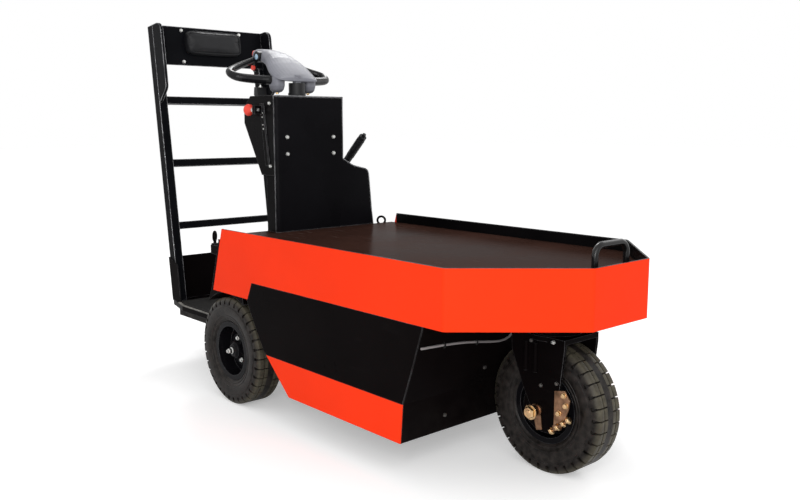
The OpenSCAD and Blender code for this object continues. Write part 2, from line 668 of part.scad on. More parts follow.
// half section of a tyre: radius and distance from its centre plane
module tyre() spin(0) difference() {
    w = tyre_w / 2;
    b = rim_w / 2;
    polygon([[bead_r, -b], [rim_d / 2, -b], [rim_d / 2 + 6, -b - 6], [tyre_r - 60, -w], [tyre_r - 34, -w],
        [tyre_r - 30, -w + 3], [tyre_r - 14, -w + 3], [tyre_r, -w + 14], [tyre_r, w - 14],
        [tyre_r - 14, w - 3], [tyre_r - 30, w - 3], [tyre_r - 34, w], [tyre_r - 60, w],
        [rim_d / 2 + 6, b + 6], [rim_d / 2, b], [bead_r, b]]);
    polygon([[bead_r - 1, -b + 14], [bead_r + 20, -b + 14], [tyre_r - 50, -w + 14], [tyre_r - 28, -w + 18],
        [tyre_r - 20, -w + 30], [tyre_r - 20, w - 30], [tyre_r - 28, w - 18], [tyre_r - 50, w - 14],
        [bead_r + 20, b - 14], [bead_r - 1, b - 14]]);
}

module rim_ring() {
    b = rim_w / 2;
    translate([bead_r - 8, -b]) square([8, rim_w]);
    for (y = [-b - 5, b]) translate([bead_r - 8, y]) square([8 + flange_h, 5]);
}

module rear_rim() color([0.05, 0.05, 0.05]) spin(0) {
    rim_ring();
    translate([stub_r + run_gap, -18]) square([16, 46]);
    polygon([[0, 28], [stub_r + 16, 28], [stub_r + 14, 36], [stub_r + 4, 44], [0, 47]]);
    polygon([[stub_r + 12, 4], [58, 4], [74, -14], [bead_r - 4, -14], [bead_r - 4, -8], [78, -8], [62, 10],
        [stub_r + 12, 10]]);
}

module front_tyre() color([0.08, 0.08, 0.08]) translate([x_fork, 0, tyre_r]) tyre();
module front_rim() color([0.05, 0.05, 0.05]) translate([x_fork, 0, tyre_r]) spin(0) {
    rim_ring();
    translate([axle_r + run_gap, -42]) square([16, 84]);
    polygon([[axle_r + 10, 8], [bead_r - 4, 8], [bead_r - 4, 14], [axle_r + 10, 14]]);
    translate([62, -48]) square([8, 58]);
}
module rear_tyre_right() color([0.08, 0.08, 0.08]) translate([axle_x, -track / 2, tyre_r]) tyre();
module rear_tyre_left() color([0.08, 0.08, 0.08]) translate([axle_x, track / 2, tyre_r]) tyre();
module rear_rim_right() translate([axle_x, -track / 2, tyre_r]) mirror([0, 1, 0]) rear_rim();
module rear_rim_left() translate([axle_x, track / 2, tyre_r]) rear_rim();

x_rear = foot_x - post_l * sin(lean);
module place() translate([-(x_nose + x_rear) / 2, 0, 0]) children();

place() deck_fascia();
place() deck_plate();
place() deck_mat();
place() deck_hoop();
place() nose_plate();
place() side_panels();
place() sill_panels();
place() front_panel();
place() belly_pan();
place() rear_bulkhead();
place() tie_eyes();
place() frame_rails();
place() battery_block();
place() rear_axle();
place() drive_motor();
place() platform();
place() platform_mat();
place() backrest_frame();
place() backrest_wings();
place() backrest_panel();
place() backrest_pad();
place() kick_panel();
place() tow_hitch();
place() console_front();
place() console_box();
place() console_pedestal();
place() column_boot();
place() dash_pod();
place() lever_bracket();
place() parking_lever();
place() stop_knob();
place() brake_cable();
place() head_stem();
place() head_shell();
place() head_handles();
place() head_buttons();
place() fork();
place() front_axle();
place() brake_plate();
place() brake_linkage();
place() front_tyre();
place() front_rim();
place() rear_tyre_right();
place() rear_rim_right();
place() rear_tyre_left();
place() rear_rim_left();
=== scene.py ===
"""Stand-up three-wheel tow tractor with a load deck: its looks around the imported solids, in metres."""

import math

import bmesh
import bpy
import numpy as np
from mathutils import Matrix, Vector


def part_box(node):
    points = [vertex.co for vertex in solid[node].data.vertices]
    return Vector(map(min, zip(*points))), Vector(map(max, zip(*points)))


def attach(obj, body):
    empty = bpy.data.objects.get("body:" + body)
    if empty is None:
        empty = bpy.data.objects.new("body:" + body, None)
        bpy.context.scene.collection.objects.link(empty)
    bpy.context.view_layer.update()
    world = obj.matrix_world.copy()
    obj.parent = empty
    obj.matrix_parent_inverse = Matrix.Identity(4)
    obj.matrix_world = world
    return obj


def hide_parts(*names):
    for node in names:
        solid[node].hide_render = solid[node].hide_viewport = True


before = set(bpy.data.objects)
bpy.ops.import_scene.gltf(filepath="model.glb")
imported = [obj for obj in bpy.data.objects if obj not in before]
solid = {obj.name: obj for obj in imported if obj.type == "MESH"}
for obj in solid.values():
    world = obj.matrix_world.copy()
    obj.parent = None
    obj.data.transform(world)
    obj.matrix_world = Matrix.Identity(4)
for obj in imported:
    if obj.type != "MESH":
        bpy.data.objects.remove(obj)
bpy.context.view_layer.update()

# Under-frame: two welded box rails, the folded belly pan, the cast drive axle with its motor, and the
# battery. Rails and pan are sprayed satin black after welding, and all of it carries the pale dust
# of a warehouse floor, thickest near the ground.


def shader_group(name, inputs, outputs):
    """An empty shader node group with float sockets: inputs maps a name to its default value."""
    tree = bpy.data.node_groups.new(name, "ShaderNodeTree")
    for label, value in inputs.items():
        socket = tree.interface.new_socket(label, in_out="INPUT", socket_type="NodeSocketFloat")
        socket.default_value = value
    for label in outputs:
        tree.interface.new_socket(label, in_out="OUTPUT", socket_type="NodeSocketFloat")
    return tree, tree.nodes.new("NodeGroupInput").outputs, tree.nodes.new("NodeGroupOutput").inputs


def feed(tree, socket, value):
    """Puts a number, a colour or another node's socket into a socket."""
    if isinstance(value, (int, float, tuple)):
        socket.default_value = value
    else:
        tree.links.new(value, socket)


def field(tree, scale, detail=3.0, stretch=(1.0, 1.0, 1.0)):
    """Noise over Object coordinates stretched along each axis; scale is a number or a socket."""
    mapping = tree.nodes.new("ShaderNodeMapping")
    mapping.inputs["Scale"].default_value = stretch
    tree.links.new(tree.nodes.new("ShaderNodeTexCoord").outputs["Object"], mapping.inputs["Vector"])
    noise = tree.nodes.new("ShaderNodeTexNoise")
    noise.inputs["Detail"].default_value = detail
    tree.links.new(mapping.outputs["Vector"], noise.inputs["Vector"])
    feed(tree, noise.inputs["Scale"], scale)
    return noise.outputs["Fac"]


def spread(tree, value, low, high, to_low=0.0, to_high=1.0):
    """A value stretched from low..high to to_low..to_high and clipped there; ends may be sockets."""
    node = tree.nodes.new("ShaderNodeMapRange")
    for socket, end in zip(node.inputs[:5], (value, low, high, to_low, to_high)):
        feed(tree, socket, end)
    return node.outputs["Result"]


def product(tree, first, *others):
    """The product of several values or sockets."""
    result = first
    for value in others:
        node = tree.nodes.new("ShaderNodeMath")
        node.operation = "MULTIPLY"
        feed(tree, node.inputs[0], result)
        feed(tree, node.inputs[1], value)
        result = node.outputs["Value"]
    return result


def mixed(tree, kind, factor, a, b):
    """Two colours or two numbers mixed by a factor."""
    node = tree.nodes.new("ShaderNodeMix")
    node.data_type = kind
    first = {"FLOAT": 2, "RGBA": 6}[kind]
    feed(tree, node.inputs[0], factor)
    feed(tree, node.inputs[first], a)
    feed(tree, node.inputs[first + 1], b)
    return node.outputs[{"FLOAT": 0, "RGBA": 2}[kind]]


# Sprayed skin: slow clouds of tone and the fine peel of the sprayed or moulded surface.
skin_inputs = {"Cloud": 5.0, "Grain": 900.0}
skin_tree, skin_in, skin_out = shader_group("sprayed skin", skin_inputs, ("Tone", "Peel"))
clouds = spread(skin_tree, field(skin_tree, skin_in["Cloud"], 5.0), 0.3, 0.7)
skin_tree.links.new(clouds, skin_out["Tone"])
skin_tree.links.new(field(skin_tree, skin_in["Grain"], 2.0), skin_out["Peel"])

# Floor dust: a mask that fades out with the height above the floor.
dust_tree, dust_in, dust_out = shader_group("floor dust", {"Reach": 0.4, "Amount": 0.3}, ("Mask",))
height = dust_tree.nodes.new("ShaderNodeSeparateXYZ")
dust_tree.links.new(dust_tree.nodes.new("ShaderNodeTexCoord").outputs["Object"], height.inputs[0])
near_floor = spread(dust_tree, height.outputs["Z"], dust_in["Reach"], 0.0)
dust_patch = spread(dust_tree, field(dust_tree, 14.0, 6.0), 0.35, 0.75)
dust_tree.links.new(product(dust_tree, near_floor, dust_patch, dust_in["Amount"]), dust_out["Mask"])

# Scuffs and painted streaks: long thin streaks along the vehicle, gathered in patches; on the load
# deck's mat they are painted streaks of reflection.
scuff_streak_tree, scuff_streak_in, scuff_streak_out = shader_group("scuffs and painted streaks", {"Scale": 9.0, "Amount": 0.3}, ("Mask",))
scuff_streaks = spread(scuff_streak_tree, field(scuff_streak_tree, scuff_streak_in["Scale"], 8.0, (1.0, 5.0, 6.0)), 0.6, 0.72)
scuff_streak_patch = spread(scuff_streak_tree, field(scuff_streak_tree, 3.0), 0.42, 0.62)
scuff_streak_tree.links.new(product(scuff_streak_tree, scuff_streaks, scuff_streak_patch, scuff_streak_in["Amount"]), scuff_streak_out["Mask"])

# Edge wear and painted highlight: where the normal of the rounded-over edge leaves the face's own
# normal. The edge goes to bright bare steel there, which paints the highlight lines of folded edges.
bevel_samples = 4
wear_highlight_tree, wear_highlight_in, wear_highlight_out = shader_group("edge wear and painted highlight", {"Radius": 0.002, "Amount": 0.5}, ("Mask",))
round_over = wear_highlight_tree.nodes.new("ShaderNodeBevel")
round_over.samples = bevel_samples
wear_highlight_tree.links.new(wear_highlight_in["Radius"], round_over.inputs["Radius"])
turn = wear_highlight_tree.nodes.new("ShaderNodeVectorMath")
turn.operation = "DOT_PRODUCT"
wear_highlight_tree.links.new(round_over.outputs["Normal"], turn.inputs[0])
wear_highlight_tree.links.new(wear_highlight_tree.nodes.new("ShaderNodeNewGeometry").outputs["Normal"], turn.inputs[1])
wear_highlight_line = spread(wear_highlight_tree, turn.outputs["Value"], 0.985, 0.80)
wear_highlight_patch = spread(wear_highlight_tree, field(wear_highlight_tree, 22.0, 5.0), 0.34, 0.60, 0.30, 1.0)
wear_highlight_tree.links.new(product(wear_highlight_tree, wear_highlight_line, wear_highlight_patch, wear_highlight_in["Amount"]), wear_highlight_out["Mask"])

# Bare steel of the edges: edge wear, and the bright painted highlight along folded edges.
bare_steel_highlight = (0.62, 0.62, 0.64, 1.0)
wear_highlight_reach = 1.6
pale_dust = (0.24, 0.21, 0.18, 1.0)
dust_rough = 0.85
peel_depth = 0.001


def finish(name, colour, rough, peel=0.06, grain=900.0, tone=0.12, cloud=5.0, dust=0.0, reach=0.4,
           scuff_and_streak=0.0, wear_and_highlight=0.0, metal=0.0, shine=0.5, edge=0.0012):
    """Material of one sprayed, plated or moulded finish.

    The colour swings by tone either way with the cloud noise, and the roughness a little with it.
    Edges go to bright bare steel by the edge mask, which is edge wear and a painted highlight line;
    scuff streaks grey and dull it, and on the load deck's mat they are painted streaks of reflection;
    dust pales and dulls it below reach, the grain noise bumps it, and edges look rounded over by edge
    metres.
    """
    material = bpy.data.materials.new(name)
    material.use_nodes = True
    tree = material.node_tree
    shader = tree.nodes["Principled BSDF"]

    def grouped(group, **values):
        """A shared effect placed in this material with its own values."""
        node = tree.nodes.new("ShaderNodeGroup")
        node.node_tree = group
        for label, value in values.items():
            node.inputs[label].default_value = value
        return node.outputs

    sprayed = grouped(skin_tree, Cloud=cloud, Grain=grain)
    deep = tuple(c * (1 - tone) for c in colour) + (1.0,)
    pale = tuple(min(1.0, c * (1 + tone)) for c in colour) + (1.0,)
    shade = mixed(tree, "RGBA", sprayed["Tone"], deep, pale)
    gloss = mixed(tree, "FLOAT", sprayed["Tone"], max(0.03, rough - 0.05), min(1.0, rough + 0.07))
    if wear_and_highlight:
        mask = grouped(wear_highlight_tree, Radius=wear_highlight_reach * edge, Amount=wear_and_highlight)["Mask"]
        shade = mixed(tree, "RGBA", mask, shade, bare_steel_highlight)
        tree.links.new(mask, shader.inputs["Metallic"])
    if scuff_and_streak:
        mask = grouped(scuff_streak_tree, Amount=scuff_and_streak)["Mask"]
        greyed = tuple(0.6 * c + 0.035 for c in colour) + (1.0,)
        shade = mixed(tree, "RGBA", mask, shade, greyed)
        gloss = mixed(tree, "FLOAT", mask, gloss, min(1.0, rough + 0.25))
    if dust:
        mask = grouped(dust_tree, Reach=reach, Amount=dust)["Mask"]
        shade = mixed(tree, "RGBA", mask, shade, pale_dust)
        gloss = mixed(tree, "FLOAT", mask, gloss, dust_rough)
    tree.links.new(shade, shader.inputs["Base Color"])
    tree.links.new(gloss, shader.inputs["Roughness"])
    shader.inputs["Metallic"].default_value = metal
    shader.inputs["Specular IOR Level"].default_value = shine
    bump = tree.nodes.new("ShaderNodeBump")
    bump.inputs["Strength"].default_value = peel
    bump.inputs["Distance"].default_value = peel_depth
    tree.links.new(sprayed["Peel"], bump.inputs["Height"])
    if edge:
        over = tree.nodes.new("ShaderNodeBevel")
        over.samples = bevel_samples
        over.inputs["Radius"].default_value = edge
        tree.links.new(over.outputs["Normal"], bump.inputs["Normal"])
    tree.links.new(bump.outputs["Normal"], shader.inputs["Normal"])
    return material


def coat_nodes(material, *names):
    """Puts a finish on CAD nodes by name."""
    for name in names:
        for slot in solid[name].material_slots:
            slot.material = material


frame_paint = finish("frame paint", (0.008, 0.007, 0.007), 0.5, tone=0.2, dust=0.30, reach=0.45,
                     scuff_and_streak=0.15, shine=0.06)
casting = finish("axle casting", (0.018, 0.017, 0.016), 0.62, peel=0.5, grain=420.0, tone=0.3, dust=0.45,
                 reach=0.45, shine=0.2)
motor_case = finish("motor case", (0.050, 0.050, 0.055), 0.5, peel=0.35, grain=500.0, dust=0.4, shine=0.3)
battery_case = finish("battery case", (0.030, 0.030, 0.033), 0.55, peel=0.2, dust=0.5)
coat_nodes(frame_paint, "frame_rails", "belly_pan")
coat_nodes(casting, "rear_axle")
coat_nodes(motor_case, "drive_motor")
coat_nodes(battery_case, "battery_block")

# Tyres: three moulded industrial tyres with square shoulder lugs. Open cross grooves run in from both
# shoulders, half a pitch apart, wide on the side and narrow on the tread, and leave a winding rib on
# the centre; the sidewall has moulded rings.


def corners(node):
    """A CAD node's lowest and highest corners as arrays."""
    low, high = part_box(node)
    return np.array(low), np.array(high)


def skin(name, points, material, body, wrap_rows=False, wrap_cols=True, cap=False, crease=35.0):
    """A mesh over one or more grids of points (copies, rows, columns, xyz).

    Each face joins four neighbours on the grid, wrapping round where asked; cap closes the first
    and the last row. Normals point outwards and edges sharper than crease degrees stay sharp.
    """
    points = np.asarray(points, float)
    points = points[None] if points.ndim == 3 else points
    copies, rows, cols = points.shape[:3]
    index = np.arange(copies * rows * cols).reshape(copies, rows, cols)
    here = index if wrap_rows else index[:, :-1]
    down = np.roll(index, -1, 1) if wrap_rows else index[:, 1:]
    if wrap_cols:
        quads = np.stack((here, np.roll(here, -1, 2), np.roll(down, -1, 2), down), -1)
    else:
        quads = np.stack((here[..., :-1], here[..., 1:], down[..., 1:], down[..., :-1]), -1)
    faces = quads.reshape(-1, 4).tolist()
    if cap:
        faces += index[:, 0, ::-1].tolist() + index[:, -1].tolist()
    mesh = bpy.data.meshes.new(name)
    mesh.from_pydata(points.reshape(-1, 3).tolist(), [], faces)
    work = bmesh.new()
    work.from_mesh(mesh)
    bmesh.ops.recalc_face_normals(work, faces=work.faces)
    work.to_mesh(mesh)
    work.free()
    mesh.polygons.foreach_set("use_smooth", np.ones(len(mesh.polygons), bool))
    mesh.set_sharp_from_angle(angle=math.radians(crease))
    mesh.materials.append(material)
    piece = bpy.data.objects.new(name, mesh)
    bpy.context.scene.collection.objects.link(piece)
    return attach(piece, body)


def tread_grid(radius, half, pitches=34):
    """Tyre surface about the Y axis and the wear on it: rows run bead to bead, columns round the wheel.

    Every row has a radius, a place across the tyre and a pull. Where the angle falls in a groove of
    that side, the row is moved by its pull, so lugs stand between the grooves; the groove's edges
    close up by their taper from the side to the tread.
    """
    side = np.array([  # inwards from the radius, inwards from the side, pull of both, groove, in mm
        [107, 17, 0, 0, 0], [98, 17, 0, 0, 0], [95, 14.5, 0, 0, 0], [92, 11.5, 0, 0, 0],
        [89, 9.8, 0, 0, 0], [88, 8.0, 0, 0, 0], [84, 7.0, 0, 0, 0], [82.6, 8.2, 0, 0, 0],
        [76, 5.2, 0, 0, 0], [74.8, 3.4, 0, 0, 0], [71, 2.4, 0, 0, 0], [69.6, 3.6, 0, 0, 0],
        [62, 1.4, 0, 0, 0], [52, 0.2, 0, 0, 0], [44, 0, 0, 0, 0], [38, 0.2, 0, 0, 0],
        [35.5, 0.4, 0, 0, 0], [34.3, 2.0, 0, 0, 0], [31, 3.0, 0, 0, 0], [27, 3.1, 0, 0, 0],
        [26, 3.1, 1, 7.0, 1], [20, 3.2, 2, 9.0, 1], [14, 3.8, 4, 10.0, 1], [8, 7.6, 9, 8.0, 1],
        [3, 11.6, 11, 3.0, 1], [0.6, 14, 11, 0, 1], [0, 17, 11, 0, 1], [0, 24, 10.5, 0, 1],
        [0, 30, 10.5, 0, 1], [0.5, 31.5, 9, 0, 1], [7, 32, 3, 0, 1], [7, 35, 3, 0, 1],
        [0.5, 35.5, 9, 0, 1], [0, 37, 10, 0, 1], [0, 46, 9, 0, 1], [0, 49, 8.5, 0, 1],
        [0, 50, 0, 0, 0], [0, 57, 0, 0, 0]]) / [1000, 1000, 1000, 1000, 1]
    flip = side[::-1]
    r = radius - np.r_[side[:, 0], flip[:, 0]]
    y = np.r_[side[:, 1] - half, half - flip[:, 1]]
    pull_r = -np.r_[side[:, 2], flip[:, 2]]
    pull_y = np.r_[side[:, 3], -flip[:, 3]]
    groove = np.r_[side[:, 4], flip[:, 4]]
    low_side = (np.arange(len(r)) < len(side))[:, None]

    mouth = 0.32  # shares of a pitch: the groove's mouth, its walls and how far its edges close
    wall = 0.014
    closing = 0.098
    half_pitch = np.r_[0, wall, mouth - wall, np.linspace(mouth, 0.5, 4)[:3]]
    step = np.r_[half_pitch, half_pitch + 0.5]
    floor_low = np.repeat([0, 1, 0], [1, 2, 9])
    close_low = np.repeat([1, -1, 0], [2, 2, 8])
    floor_high = np.roll(floor_low, len(half_pitch))
    close_high = np.roll(close_low, len(half_pitch))
    cut = np.where(low_side, np.tile(floor_low, pitches), np.tile(floor_high, pitches)) * groove[:, None]
    close = np.where(low_side, np.tile(close_low, pitches), np.tile(close_high, pitches))

    taper = closing * np.clip((r - radius + 0.020) / 0.016, 0, 1)[:, None]
    near_tread = np.clip((r - radius + 0.016) / 0.014, 0, 1)[:, None]
    pitch = (np.arange(pitches)[:, None] + step).ravel()
    turn = (pitch + close * taper) / pitches * 2 * np.pi
    rr = r[:, None] + cut * pull_r[:, None]
    yy = y[:, None] + cut * pull_y[:, None]
    wear = (1 - cut) * groove[:, None] * near_tread
    return np.stack((rr * np.cos(turn), yy, rr * np.sin(turn)), -1), wear


tyre_rubber = finish("tyre rubber", (0.0165, 0.0138, 0.0125), 0.36, peel=0.7, grain=260.0, tone=0.75,
                     cloud=48.0, shine=0.13, edge=0.0)
grey_rubber = (0.082, 0.073, 0.052, 1.0)
tree = tyre_rubber.node_tree
shader = tree.nodes["Principled BSDF"]
rubbed = tree.nodes.new("ShaderNodeAttribute")
rubbed.attribute_name = "wear"
fresh = shader.inputs["Base Color"].links[0].from_socket
patchy = spread(tree, field(tree, 45.0, 6.0), 0.2, 0.7, 0.35, 1.0)
scuff = product(tree, rubbed.outputs["Fac"], patchy)
tree.links.new(mixed(tree, "RGBA", scuff, fresh, grey_rubber), shader.inputs["Base Color"])

wheels = {"front_tyre": "front_wheel",
          "rear_tyre_right": "rear_wheel_right",
          "rear_tyre_left": "rear_wheel_left"}
hub = {}
for tyre, body in wheels.items():
    low, high = corners(tyre)
    hub[body] = (low + high) / 2
    half_size = (high - low) / 2
    grid, wear = tread_grid(half_size[2], half_size[1])
    piece = skin(tyre.replace("tyre", "tread"), grid + hub[body], tyre_rubber, body,
                 wrap_rows=True, crease=28.0)
    layer = piece.data.attributes.new("wear", "FLOAT", "POINT")
    layer.data.foreach_set("value", wear.ravel().astype(np.float32))
    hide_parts(tyre)

# Rims: pressed steel discs in gloss black, each held by zinc nuts on its studs, with a rubber valve
# through the dish. The nuts stand proud and are the brightest points of the wheels.

rim_paint = finish("rim paint", (0.0045, 0.0042, 0.0052), 0.16, peel=0.04, tone=0.2, shine=0.07,
                   wear_and_highlight=0.16, edge=0.0020)
coat_nodes(rim_paint, "front_rim", "rear_rim_right", "rear_rim_left")
bright_zinc = finish("bright zinc", (0.66, 0.66, 0.64), 0.26, peel=0.1, tone=0.12, cloud=60.0, metal=1.0,
                     edge=0.0004)
soft_black = finish("moulded rubber", (0.010, 0.010, 0.010), 0.55, peel=0.15, shine=0.2, edge=0.0)


def turned(rows, sides=24):
    """A turned or hexagonal piece standing on z = 0: rows of radius, height and hexness.

    A round row keeps its radius; on a hex row the radius is the distance to the flats, divided by
    the cosine of the angle to the nearest flat.
    """
    radius, height, hexness = (np.asarray(rows, float).T)[:, :, None]
    angle = np.arange(sides) * 2 * np.pi / sides
    flat = 1 / np.cos((angle + np.pi / 6) % (np.pi / 3) - np.pi / 6)
    around = radius * (1 - hexness + hexness * flat)
    return np.stack((around * np.cos(angle), around * np.sin(angle), height + 0 * angle), -1)


def planted(shape, spots, toward):
    """Copies of a standing shape, each at a spot with its height along toward, as one array."""
    spots = np.atleast_2d(spots).astype(float)
    up = np.atleast_2d(toward).astype(float) + 0 * spots
    up /= np.linalg.norm(up, axis=1, keepdims=True)
    across = np.cross(np.where(np.abs(up[:, 2:]) > 0.9, [[1.0, 0, 0]], [[0, 0, 1.0]]), up)
    across /= np.linalg.norm(across, axis=1, keepdims=True)
    axes = np.stack((across, np.cross(up, across), up), 1)
    return spots[:, None, None] + np.einsum("rcx,kxy->krcy", shape, axes)


def fitted(name, shape, spots, toward, material, body):
    """One piece made of a standing shape's copies, planted on the spots with their heights along toward."""
    return skin(name, planted(shape, spots, toward), material, body)


def node_points(name):
    """A CAD node's vertices as an array."""
    vertices = solid[name].data.vertices
    points = np.empty(3 * len(vertices))
    vertices.foreach_get("co", points)
    return points.reshape(-1, 3)


tip_radius = 0.0005  # the last ring of a turned piece, too small to see through
wheel_nut = turned([(tip_radius, -0.002, 0), (0.0125, -0.002, 0), (0.0135, 0.002, 0), (0.0100, 0.004, 1),
                    (0.0100, 0.014, 1), (0.0085, 0.017, 0.4), (0.0060, 0.0175, 0), (0.0060, 0.022, 0),
                    (tip_radius, 0.023, 0)])
valve = turned([(tip_radius, 0, 0), (0.007, 0, 0), (0.006, 0.006, 0), (0.0042, 0.012, 0),
                (0.0042, 0.026, 0), (tip_radius, 0.027, 0)], 12)
stud_angle = np.radians([77.0, 197.0, 317.0])
stud_ring = 0.051
disc_face = 0.0102
cap_radius = 0.030
valve_ring = 0.086
valve_seat = -0.0080
valve_lean = 0.2
for body, out in (("rear_wheel_right", -1), ("rear_wheel_left", 1)):
    stud_spots = hub[body] + np.stack((np.cos(stud_angle) * stud_ring, 0 * stud_angle + out * disc_face,
                                       np.sin(stud_angle) * stud_ring), -1)
    fitted(body + "_nuts", wheel_nut, stud_spots, (0, out, 0), bright_zinc, body)
    disc = node_points(body.replace("wheel", "rim")) - hub[body]
    cap_face = (out * disc[np.hypot(disc[:, 0], disc[:, 2]) < cap_radius, 1]).max()
    cap_spot = hub[body] + [[0, out * cap_face, 0]]
    fitted(body + "_hub_nut", wheel_nut, cap_spot, (0, out, 0), bright_zinc, body)
    valve_spot = hub[body] + [[valve_ring, out * valve_seat, 0.0]]
    fitted(body + "_valve", valve, valve_spot, (valve_lean, out, 0), soft_black, body)

# Steering fork: a welded crown with two plate legs under a round slewing bearing, sprayed gloss
# black. Round bars stiffen the right leg, and zinc screws go through the leg and the crown.

black_paint = finish("black paint", (0.0036, 0.0032, 0.0036), 0.26, peel=0.08, grain=650.0, tone=0.2,
                     scuff_and_streak=0.05, wear_and_highlight=0.25, shine=0.03, edge=0.0026)
low_black = finish("low black paint", (0.0034, 0.0024, 0.0025), 0.30, peel=0.08, grain=650.0, tone=0.2,
                   dust=0.04, reach=0.28, scuff_and_streak=0.05, wear_and_highlight=0.16, shine=0.012, edge=0.0022)
coat_nodes(low_black, "fork", "brake_plate", "nose_plate", "front_axle")
dull_zinc = finish("dull zinc", (0.20, 0.19, 0.18), 0.42, peel=0.2, tone=0.3, cloud=60.0, metal=1.0,
                   edge=0.0004)


def hex_head(size):
    """A hex head on a plain washer, size metres across the flats."""
    s = size / 2
    return turned([(tip_radius, -0.0004, 0), (1.25 * s, -0.0004, 0), (1.25 * s, 0.22 * s, 0),
                   (s, 0.25 * s, 1), (s, 0.85 * s, 1), (0.93 * s, s, 0.6), (0.5 * s, 1.05 * s, 0),
                   (tip_radius, 1.05 * s, 0)])


rightward = (0, -1, 0)
upward = (0, 0, 1)
steer = hub["front_wheel"]
leg_face = -0.087
leg_places = ((0.013, 0.299), (0.074, 0.318), (-0.030, 0.436))
leg_spots = [[steer[0] + x, leg_face, z] for x, z in leg_places]
fitted("leg_screws", hex_head(0.010), leg_spots, rightward, dull_zinc, "fork")
crown_spot = [[steer[0] + 0.057, leg_face, 0.446]]
fitted("crown_screw", hex_head(0.012), crown_spot, rightward, bright_zinc, "fork")
bar = turned([(tip_radius, 0, 0), (0.005, 0.0005, 0), (0.0075, 0.003, 0), (0.008, 0.007, 0),
              (0.008, 0.093, 0), (0.0075, 0.097, 0), (0.005, 0.0995, 0), (tip_radius, 0.1, 0)], 20)
bar_foot = 0.334
bar_spots = [[steer[0] + x, leg_face - 0.002, bar_foot] for x in (-0.010, -0.048)]
fitted("leg_bars", bar, bar_spots, upward, low_black, "fork")

# Brake hardware on the fork's right leg: a boss with its arm on the axle's end, an adjuster plate and
# a threaded rod with nuts, all in yellow zinc plate that has gone rainbow and brown in places.

gold_zinc = finish("yellow zinc", (0.80, 0.56, 0.30), 0.22, peel=0.10, grain=500.0, tone=0.20, cloud=60.0,
                   metal=1.0, edge=0.0006)
brown_zinc = finish("browned zinc", (0.30, 0.175, 0.105), 0.36, peel=0.25, grain=420.0, tone=0.55,
                    cloud=38.0, metal=1.0, scuff_and_streak=0.3, edge=0.0012)
coat_nodes(brown_zinc, "brake_linkage")
plate_face = leg_face - 0.005
bolt_places = ((0.106, 0.288), (0.114, 0.257), (0.088, 0.227))
bolt_spots = [[steer[0] + x, plate_face, z] for x, z in bolt_places]
fitted("adjuster_bolts", hex_head(0.015), bolt_spots, rightward, gold_zinc, "fork")
rod_foot = np.array([steer[0] + 0.062, leg_face - 0.013, steer[2] - 0.053])
rod_run = np.array([0.074, 0, 0.059])
rod_nut = turned([(tip_radius, -0.0002, 0), (0.0085, -0.0002, 0), (0.0098, 0.0010, 1), (0.0098, 0.0086, 1),
                  (0.0085, 0.0098, 0), (tip_radius, 0.0098, 0)])
rod_spots = [rod_foot + share * rod_run for share in (0.05, 0.35, 0.65, 0.9)]
fitted("rod_nuts", rod_nut, rod_spots, rod_run, gold_zinc, "fork")
axle_nut = turned([(tip_radius, 0, 0), (0.0240, 0, 0), (0.0240, 0.002, 0), (0.0175, 0.0025, 1),
                   (0.0175, 0.0095, 1), (0.0160, 0.0120, 0.5), (0.0100, 0.0122, 0), (0.0090, 0.0135, 0),
                   (tip_radius, 0.0138, 0)])
boss_face = leg_face - 0.033
axle_spot = [[steer[0], boss_face, steer[2]]]
fitted("axle_cap", axle_nut, axle_spot, rightward, gold_zinc, "fork")

# Body skins: the orange fascia band and sill panels are folded sheet in gloss powder coat; the
# side panels, front panel and rear bulkhead between them are the same sheet in black. Screws hold
# the front panel, and clips hold the brake cable along it.

orange_paint = finish("orange paint", (0.88, 0.039, 0.0075), 0.34, peel=0.05, grain=750.0, tone=0.05,
                      cloud=2.5, shine=0.03, edge=0.0030)
coat_nodes(orange_paint, "deck_fascia", "sill_panels")
coat_nodes(low_black, "side_panels", "front_panel", "rear_bulkhead", "tie_eyes")
cable_sheath = finish("cable sheath", (0.24, 0.22, 0.22), 0.35, peel=0.05, tone=0.1, edge=0.0)
coat_nodes(cable_sheath, "brake_cable")
panel_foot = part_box("front_panel")[0][0] + 0.004
upper_face = (0.942, 0, -0.336)
lower_face = (0.997, 0, -0.077)
for label, x, y, z, toward in (("upper", panel_foot + 0.0304, 0.113, 0.315, upper_face),
                               ("lower", panel_foot + 0.0040, 0.271, 0.181, lower_face)):
    spots = [[x, -y, z], [x, y, z]]
    fitted("panel_screws_" + label, hex_head(0.011), spots, toward, dull_zinc, "chassis")


def carried(path, profile, up, closed=False):
    """A profile of sideways and upward steps carried along a path, square to it at every point."""
    path = np.asarray(path, float)
    ahead = np.roll(path, -1, 0) - np.roll(path, 1, 0) if closed else np.gradient(path, axis=0)
    ahead /= np.linalg.norm(ahead, axis=1, keepdims=True)
    side = np.cross(ahead, up)
    side /= np.linalg.norm(side, axis=1, keepdims=True)
    rise = np.cross(side, ahead)
    return path[:, None] + profile[None, :, :1] * side[:, None] + profile[None, :, 1:] * rise[:, None]


def rounded_bar(width, tall, corner=0.35, count=16):
    """A rounded bar's section: a superellipse of the given width and height."""
    turn = np.arange(count) * 2 * np.pi / count
    c = np.cos(turn)
    s = np.sin(turn)
    wide = np.sign(c) * np.abs(c) ** corner * width / 2
    high = np.sign(s) * np.abs(s) ** corner * tall / 2
    return np.stack((wide, high), -1)


